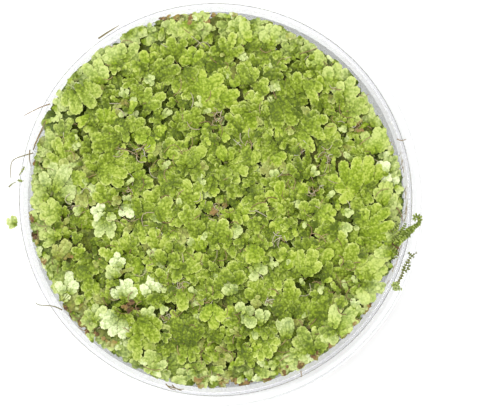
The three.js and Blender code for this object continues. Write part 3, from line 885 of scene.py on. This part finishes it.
def lying_threads(rng, places, lengths, lift):
    """Thin roots and stalks that lie on the carpet at the given places, each an arc of its own length."""
    n = len(places)
    t = np.linspace(-0.5, 0.5, 5)
    way, bow = rng.uniform(0, 2 * np.pi, (n, 1)), rng.uniform(-0.5, 0.5, (n, 1))
    along, aside = lengths[:, None] * t, lengths[:, None] * bow * (0.25 - t * t) * 4
    x = places[:, :1] + along * np.cos(way) - aside * np.sin(way)
    y = places[:, 1:] + along * np.sin(way) + aside * np.cos(way)
    shrink = np.minimum(1, THREAD_REACH / np.hypot(x, y))
    z = carpet_top(x, y) + lift + rng.normal(0, 0.35, (n, 1)) * MM
    z += lengths[:, None] * t * rng.normal(0, 0.15, (n, 1))
    path = np.stack([x * shrink, y * shrink, z], axis=-1)
    radius = rng.uniform(0.07, 0.13, (n, 1)) * MM * np.ones((1, 5))
    return path, radius


def loose_threads(rng):
    """The roots and stalks that lie among the fans: a scatter of them all over, and more in each tangle."""
    reach = (CARPET_RADIUS - 2 * MM) * np.sqrt(rng.random(THREADS))
    way = rng.uniform(0, 2 * np.pi, THREADS)
    places = np.column_stack([reach * np.cos(way), reach * np.sin(way)])
    path, radius = lying_threads(rng, places, rng.uniform(1.8, 5.5, THREADS) * MM, 0.6 * MM)
    paths, radii, shades = [path], [radius], [rng.uniform(0.3, 1.4, THREADS)]
    for x_px, y_px, radius_px, count in TANGLES:
        places = seen_at(x_px, y_px) + rng.normal(0, 0.5, (count, 2)) * radius_px * M_PER_PX
        path, radius = lying_threads(rng, places, rng.uniform(1.2, 3.6, count) * MM, 0.3 * MM)
        paths.append(path)
        radii.append(radius)
        shades.append(rng.uniform(0.8, 1.6, count))
    return np.concatenate(paths), np.concatenate(radii), np.concatenate(shades)


def lip_sprigs(rng, paths, step, above, **look):
    """The skins of sprigs along paths in pixels over the lip, each with its leaves' reach in millimetres."""
    return [
        part for reach, pixels in paths
        for part in sprig_skins(rng, over_lip(pixels, step, above), reach * MM, **look)
    ]


def wall_root(rng, top_px, foot_px):
    """A thin root that clings to the wall on the right, somewhere between two heights in the photograph."""
    middle_px, half_px = rng.uniform(top_px, foot_px), rng.uniform(1, 5)
    t = np.linspace(0, 1, 9)
    y = (BOWL_MIDDLE_PX[1] - middle_px - half_px * (2 * t - 1)) * M_PER_PX
    height = WALL_ROOT_TOP - np.abs(rng.normal(0, 1)) * MM - rng.normal(0, 2) * MM * t**2
    height = np.clip(height, *WALL_ROOT_HEIGHTS)
    reach = wall_radius(height, WALL) - 0.25 * MM
    path = np.stack([np.sqrt(reach**2 - y**2), y, height], axis=-1)
    return tube_skin(path[None], np.full((1, len(t)), WALL_ROOT_RADIUS), 4, shade=rng.uniform(0.7, 1.5, 1))


def make_lip_pieces(materials):
    """The branch, the twig and the loose frond on the lip, and the loose roots on it and down the wall."""
    rng = np.random.default_rng(5)
    branch = lip_sprigs(rng, LIP_BRANCH, 0.6 * MM, 1.2 * MM, tone=0.38, fresh=0.3, age=0.08, edge=0.9,
                        spread=0.35)
    make_piece("lip_branch", branch, materials, ["branch_over_lip"])
    twig = lip_sprigs(rng, LIP_TWIG, 0.75 * MM, 0.8 * MM, tone=0.04, age=0.16, edge=0.4, spread=0.2)
    twig += lip_sprigs(rng, LIP_TWIG_TUFTS, 0.6 * MM, 0.6 * MM, tone=0.8, pale=0.4)
    make_piece("lip_twig", twig, materials, ["twig_on_lip"])
    x, y = seen_at(*LIP_FROND_PX)
    frond = {
        "x": x, "y": y, "heading": math.radians(150), "size": 3.6 * MM, "lobes": 5, "half_width": 0.62 * MM,
        "scale": 0.6, "limit": LIP_RADIUS + 1.6 * MM, "droop": 0.05, "roll": 0.02, "tilt": 0.03,
        "blade": True, "relief": 1.0, "grain": 0.5, "lift": LIP_TOP + 0.75 * MM - carpet_top(x, y),
        **LOOKS["pale"],
    }
    make_piece("lip_frond", fan_skins(rng, frond)[0], materials, ["loose_frond_on_lip"])

    skins = []
    for pixels in LIP_ROOTS:
        path = over_lip(pixels, 0.6 * MM, 0.12 * MM)
        radius = 0.19 * MM * np.linspace(1, 0.6, len(path))[None]
        skins.append(tube_skin(path[None], radius, 5, shade=rng.uniform(0.1, 0.6, 1)))
    skins += lip_sprigs(rng, LIP_BITS, 0.5 * MM, 0.5 * MM, tone=0.7, fresh=0.3, pale=0.2)
    skins += [wall_root(rng, top_px, foot_px) for top_px, foot_px in WALL_ROOTS for _ in range(4)]
    make_piece("loose_roots", skins, materials)


def stalk_and_roots(rng, crown, middle_stem):
    """The stalk that sags from a fan's foot to its plant's crown, and the fan's three roots."""
    foot = middle_stem[0]
    t = np.linspace(0, 1, 6)[:, None]
    stalk = foot + (crown - foot) * t - np.array([0, 0, STALK_SAG]) * np.sin(np.pi * t)
    stalk_skin = tube_skin(stalk[None], np.full((1, len(t)), STALK_RADIUS), 5, shade=np.zeros(1))
    starts = np.stack([middle_stem[1], crown, crown]) + rng.normal(0, 0.7, (3, 3)) * MM
    return [stalk_skin, hanging_roots(rng, starts)]


def make_plants(materials):
    """Each plant's fans, stalks and roots as one piece that stands for the plant's solid."""
    names = sorted(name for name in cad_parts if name.startswith("plant_"))
    middles = np.array([(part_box(name)[0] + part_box(name)[1]) / 2 for name in names])[:, :2]
    rng = np.random.default_rng(23)
    plants = [[leaves] for leaves in lowest_leaves(rng, middles)]
    for fan in make_fans():
        owner = int(np.argmin(np.hypot(*(middles - [fan["x"], fan["y"]]).T)))
        skins, middle_stem = fan_skins(rng, fan)
        plants[owner] += skins
        if fan["size"] >= ROOTED_FAN:
            crown = np.array([*middles[owner], WATER_LEVEL + CROWN_ABOVE_WATER])
            plants[owner] += stalk_and_roots(rng, crown, middle_stem)
    paths, radii, shades = loose_threads(rng)
    owner = nearest(paths[:, 2, :2], middles)
    for i, (name, skins) in enumerate(zip(names, plants)):
        mine = owner == i
        if mine.any():
            skins.append(tube_skin(paths[mine], radii[mine], 4, shade=shades[mine]))
        make_piece(f"fern_{name}", skins, materials, [name])


def new_material(name):
    """An empty material: its tree and its Principled shader."""
    material = bpy.data.materials.new(name)
    material.use_nodes = True
    tree = material.node_tree
    return material, tree, tree.nodes["Principled BSDF"]


def put(tree, socket, value):
    """Gives a socket a value, or links it to the socket that its value comes from."""
    if isinstance(value, bpy.types.NodeSocket):
        tree.links.new(value, socket)
    else:
        socket.default_value = value


def plug(tree, node, **sockets):
    """Puts a value into each named socket of a node, and returns the node."""
    for key, value in sockets.items():
        put(tree, node.inputs[key.replace("_", " ")], value)
    return node


def add(tree, kind, settings=None, **sockets):
    """A new node with its settings and with a value put into each named socket."""
    node = tree.nodes.new(kind)
    for key, value in (settings or {}).items():
        setattr(node, key, value)
    return plug(tree, node, **sockets)


def blend_colours(tree, share, first, second):
    """first changing into second as share goes from 0 to 1."""
    mix = add(tree, "ShaderNodeMix", {"data_type": "RGBA"})
    for socket, value in ((mix.inputs["Factor"], share), (mix.inputs[6], first), (mix.inputs[7], second)):
        put(tree, socket, value)
    return mix.outputs[2]


def mark(tree, name):
    """The value that a piece's points carry under this name."""
    return add(tree, "ShaderNodeAttribute", {"attribute_name": name}).outputs["Fac"]


def ramp(tree, share, *stops):
    """A run of colours, each stop (share, red, green, blue)."""
    node = add(tree, "ShaderNodeValToRGB", Fac=share)
    band = node.color_ramp
    while len(band.elements) < len(stops):
        band.elements.new(0.5)
    for element, (position, *colour) in zip(band.elements, stops):
        element.position = position
        element.color = srgb(*colour)
    return node.outputs["Color"]


def combine(tree, operation, *values):
    """A number worked out of one or two others."""
    node = add(tree, "ShaderNodeMath", {"operation": operation})
    for socket, value in zip(node.inputs, values):
        put(tree, socket, value)
    return node.outputs[0]


def off_middle(tree, value, middle, gain):
    """How far a value is above its middle, times a gain."""
    return combine(tree, "MULTIPLY", combine(tree, "SUBTRACT", value, middle), gain)


def noise(tree, scale, detail):
    """Soft noise from 0 to 1 over a piece, its grains about 1 / scale metres apart."""
    place = add(tree, "ShaderNodeTexCoord").outputs["Object"]
    return add(tree, "ShaderNodeTexNoise", Vector=place, Scale=scale, Detail=detail).outputs["Fac"]


def bumps(tree, strength, distance, height):
    """The normals of a surface that a height from 0 to 1 raises by up to the distance."""
    return add(tree, "ShaderNodeBump", Strength=strength, Distance=distance, Height=height).outputs["Normal"]


def scale_pattern(tree):
    """The relief of small leaves in staggered rows, 0.2 cos(pi row) cos(2 pi column) + 0.9 - d.

    d is the distance to the middle of the nearest round grain, and the rows waver with a noise.
    """
    waver = combine(tree, "MULTIPLY", noise(tree, 700, 1), 2.0)
    row = combine(tree, "MULTIPLY", combine(tree, "ADD", mark(tree, "rows"), waver), math.pi)
    column = combine(tree, "MULTIPLY", mark(tree, "columns"), 2 * math.pi)
    wave = combine(tree, "MULTIPLY", combine(tree, "COSINE", row), combine(tree, "COSINE", column))
    place = add(tree, "ShaderNodeTexCoord").outputs["Object"]
    grains = add(tree, "ShaderNodeTexVoronoi", {"feature": "SMOOTH_F1"}, Vector=place, Scale=1250.0,
                 Smoothness=0.4)
    round_grains = combine(tree, "SUBTRACT", 0.9, grains.outputs["Distance"])
    relief = combine(tree, "ADD", combine(tree, "MULTIPLY", wave, 0.2), round_grains)
    return combine(tree, "MULTIPLY", relief, mark(tree, "scales"))


def fern_leaf():
    """Leaf green from deep to pale by its tone, paler at its margin with a painted highlight there, darker in
    the hollows of its scale pattern as a painted shade, and lime, mint or brown by its marks.
    """
    material, tree, shader = new_material("fern_leaf")
    patches, grain, relief = noise(tree, 320, 3), noise(tree, 2000, 2), scale_pattern(tree)
    # The scale pattern's relief lightens the grains and darkens the hollows between them as a painted shade;
    # the grain noise adds a random tone.
    grain_and_painted_hollow_shade = combine(tree, "ADD", off_middle(tree, relief, 0.45, 0.8), off_middle(tree, grain, 0.5, 0.9))
    unevenness_and_painted_shade = combine(tree, "ADD", off_middle(tree, patches, 0.5, 0.35), grain_and_painted_hollow_shade)
    tone = combine(tree, "ADD", mark(tree, "tone"), unevenness_and_painted_shade)
    green = ramp(tree, tone, (0, 68, 84, 8), (0.35, 95, 112, 14), (0.65, 121, 141, 34), (1, 157, 171, 74))
    bright_green = ramp(tree, tone, (0, 86, 108, 4), (0.6, 126, 150, 22), (1, 167, 182, 70))
    pale_green = ramp(tree, tone, (0, 126, 146, 96), (0.6, 184, 197, 138), (1, 214, 222, 176))
    lime = blend_colours(tree, mark(tree, "fresh"), green, bright_green)
    mint = blend_colours(tree, mark(tree, "pale"), lime, pale_green)
    old = ramp(tree, mark(tree, "age"), (0, 168, 163, 90), (0.45, 140, 112, 66), (1, 78, 56, 38))
    aged = add(tree, "ShaderNodeMapRange", Value=mark(tree, "age"), From_Min=0.1, From_Max=0.5)
    grown = blend_colours(tree, aged.outputs[0], mint, old)
    # The margins' pale rim is partly their own pale colour and partly a painted highlight, broken up by the
    # patches.
    broken = combine(tree, "MULTIPLY", patches, 1.4)
    edge = combine(tree, "MULTIPLY", combine(tree, "POWER", mark(tree, "rim"), 1.6), broken)
    colour = blend_colours(tree, edge, grown, srgb(212, 220, 140))
    height = combine(tree, "ADD", relief, combine(tree, "MULTIPLY", grain, 0.35))
    plug(tree, shader, Base_Color=colour, Normal=bumps(tree, 0.7, 0.2 * MM, height), Roughness=0.5,
         Specular_IOR_Level=0.18)
    return material


def fern_root():
    """Stems and roots: green-brown stems to pale brown roots, by their shade."""
    material, tree, shader = new_material("fern_root")
    streaks = noise(tree, 700, 3)
    shade = combine(tree, "MULTIPLY", mark(tree, "shade"), 0.65)
    brown = ramp(tree, shade, (0, 110, 118, 48), (0.2, 120, 92, 52), (0.65, 172, 148, 100),
                 (1, 214, 212, 186))
    colour = blend_colours(tree, combine(tree, "MULTIPLY", streaks, 0.6), brown, srgb(66, 50, 28))
    plug(tree, shader, Base_Color=colour, Normal=bumps(tree, 0.3, 0.04 * MM, streaks), Roughness=0.55)
    return material


def let_light_through(tree, shader, share, caught, mirrorings):
    """Shadow rays, and rays that were mirrored so many times inside, pass a clear material as a plain tint.

    So its shadow is a thin one, and its edges show the room beyond them instead of trapping the light.
    """
    output = next(n for n in tree.nodes if n.type == "OUTPUT_MATERIAL")
    path = add(tree, "ShaderNodeLightPath").outputs
    mirrored = combine(tree, "GREATER_THAN", path["Glossy Depth"], mirrorings - 0.5)
    either = combine(tree, "MAXIMUM", path["Is Shadow Ray"], mirrored)
    passed = blend_colours(tree, mirrored, (share, share, share, 1.0), caught)
    tint = add(tree, "ShaderNodeBsdfTransparent", Color=passed)
    mix = add(tree, "ShaderNodeMixShader", Fac=either)
    tree.links.new(shader.outputs[0], mix.inputs[1])
    tree.links.new(tint.outputs[0], mix.inputs[2])
    tree.links.new(mix.outputs[0], output.inputs["Surface"])


def clear_plastic():
    """Thin clear moulded plastic, with faint flow marks in its gloss."""
    material, tree, shader = new_material("clear_plastic")
    flow = noise(tree, 60, 4)
    haze = add(tree, "ShaderNodeMapRange", Value=flow, To_Min=0.02, To_Max=0.09).outputs[0]
    plug(tree, shader, Base_Color=srgb(250, 251, 251), Roughness=haze, IOR=1.46, Transmission_Weight=1.0,
         Normal=bumps(tree, 0.05, 0.2 * MM, flow))
    let_light_through(tree, shader, share=0.97, caught=(0.88, 0.88, 0.91, 1.0), mirrorings=2)
    return material


def bowl_water():
    """Still water with a trace of pond green."""
    material, tree, shader = new_material("bowl_water")
    plug(tree, shader, Base_Color=srgb(249, 251, 245), Roughness=0.0, IOR=1.333, Transmission_Weight=1.0,
         Normal=bumps(tree, 0.04, 0.3 * MM, noise(tree, 90, 2)))
    let_light_through(tree, shader, share=0.94, caught=(0.97, 0.98, 0.94, 1.0), mirrorings=1)
    return material


def pale_floor():
    """A plain white studio floor with a trace of unevenness."""
    material, tree, shader = new_material("pale_floor")
    colour = blend_colours(tree, noise(tree, 2, 2), srgb(246, 246, 246), srgb(249, 249, 249))
    plug(tree, shader, Base_Color=colour, Roughness=0.8)
    return material


def make_floor():
    """A wide plain floor under the bowl."""
    reach = 2.5
    corners = np.array([[-reach, -reach, 0], [reach, -reach, 0], [reach, reach, 0], [-reach, reach, 0]])
    mesh = bpy.data.meshes.new("studio_floor")
    mesh.from_pydata(corners.tolist(), [], [(0, 1, 2, 3)])
    mesh.materials.append(pale_floor())
    floor = bpy.data.objects.new("studio_floor", mesh)
    bpy.context.scene.collection.objects.link(floor)


def aim(item, target):
    """Turns a lamp or the camera to face a point."""
    way = (Vector(target) - item.location).normalized()
    item.rotation_euler = way.to_track_quat("-Z", "Y").to_euler()


def make_lights():
    """A wide soft lamp from the left, weaker ones from behind and from the right, and an even pale sky."""
    for name, place, size, watts in (
        ("left_softbox", (-1.25, 0.4, 2.15), 1.1, 31.0),
        ("far_softbox", (0.2, 1.8, 2.2), 1.8, 16.0),
        ("right_softbox", (1.5, -1.1, 1.3), 1.4, 10.0),
    ):
        lamp = bpy.data.lights.new(name, "AREA")
        lamp.size = size
        lamp.energy = watts
        item = bpy.data.objects.new(name, lamp)
        item.location = place
        bpy.context.scene.collection.objects.link(item)
        aim(item, (0, 0, LIP_TOP))
    sky = bpy.data.worlds.new("pale_sky")
    sky.use_nodes = True
    sky.node_tree.nodes["Background"].inputs["Color"].default_value = (1, 1, 1, 1)
    sky.node_tree.nodes["Background"].inputs["Strength"].default_value = 1.1
    bpy.context.scene.world = sky


def make_camera():
    """A camera above the photograph's middle, whose lens gives the photograph's width at the lip's level."""
    across = PHOTO_PX[0] * M_PER_PX
    lens = bpy.data.cameras.new("photo_camera")
    lens.sensor_width = SENSOR
    lens.lens = SENSOR * (CAMERA_HEIGHT - LIP_TOP) / across
    camera = bpy.data.objects.new("photo_camera", lens)
    x, y = seen_at(PHOTO_PX[0] / 2, PHOTO_PX[1] / 2)
    camera.location = (x, y, CAMERA_HEIGHT)
    bpy.context.scene.collection.objects.link(camera)
    bpy.context.scene.camera = camera


make_camera()
make_lights()
make_floor()
leaf, root = fern_leaf(), fern_root()
make_bowl(clear_plastic())
make_water(bowl_water())
make_plants([leaf, root])
make_lip_pieces([leaf, root])
bpy.context.scene.view_settings.view_transform = "Standard"
